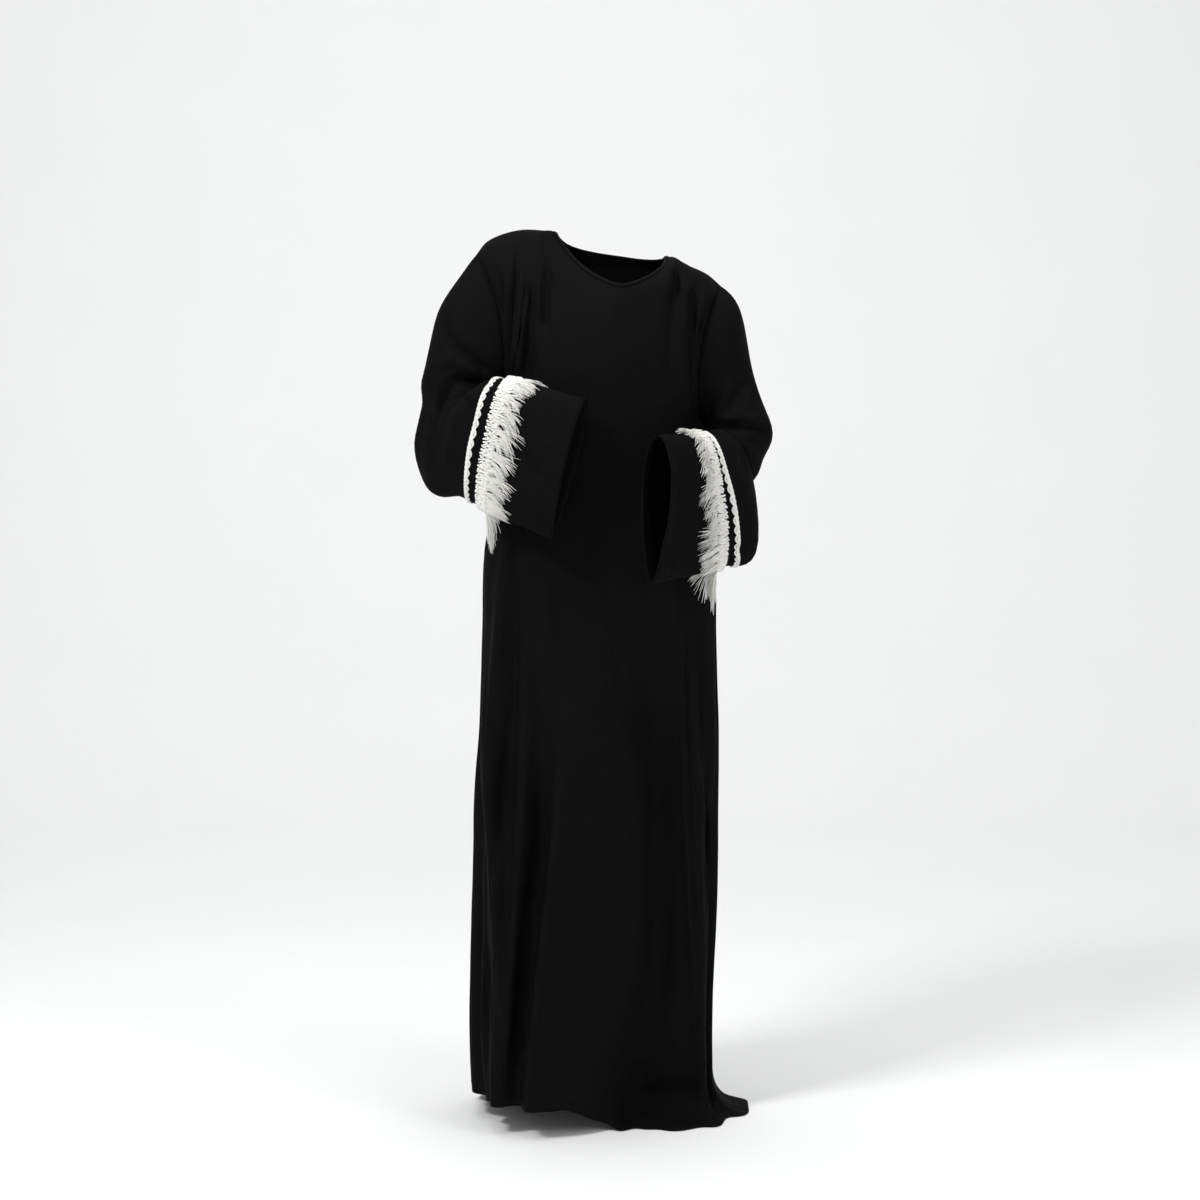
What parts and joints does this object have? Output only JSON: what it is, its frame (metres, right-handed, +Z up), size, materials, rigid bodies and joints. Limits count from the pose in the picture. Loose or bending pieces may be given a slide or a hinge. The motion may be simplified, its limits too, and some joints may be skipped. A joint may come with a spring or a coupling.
{
  "type": "prayer dress",
  "caption": "Long closed pull-on prayer dress of black crepe with wide sleeves, each with a white braid and fringe near the cuff, in its hollow worn form.",
  "frame": {"origin": "middle of the shoulder line at the base of the neck, where the wearer's shoulders hold the dress up; the floor is 1.455 m below", "axes": "+X to the wearer's left, -Y to the front, +Z up"},
  "size_m": [0.5868, 0.5404, 1.4821],
  "materials": {
    "black_crepe": "matt plain crepe with a soft low sheen",
    "black_binding": "the same crepe, cut as a narrow bound edge",
    "white_braid": "looped off-white yarn braid",
    "white_fringe": "brushed off-white yarn heading with soft loose locks"
  },
  "bodies": {
    "root": {"body_front": "black_crepe", "body_back": "black_crepe", "sleeve_right": "black_crepe", "sleeve_left": "black_crepe", "neck_binding": "black_binding", "braid_right": "white_braid", "braid_left": "white_braid", "fringe_right": "white_fringe", "fringe_left": "white_fringe"}
  },
  "joints": []
}
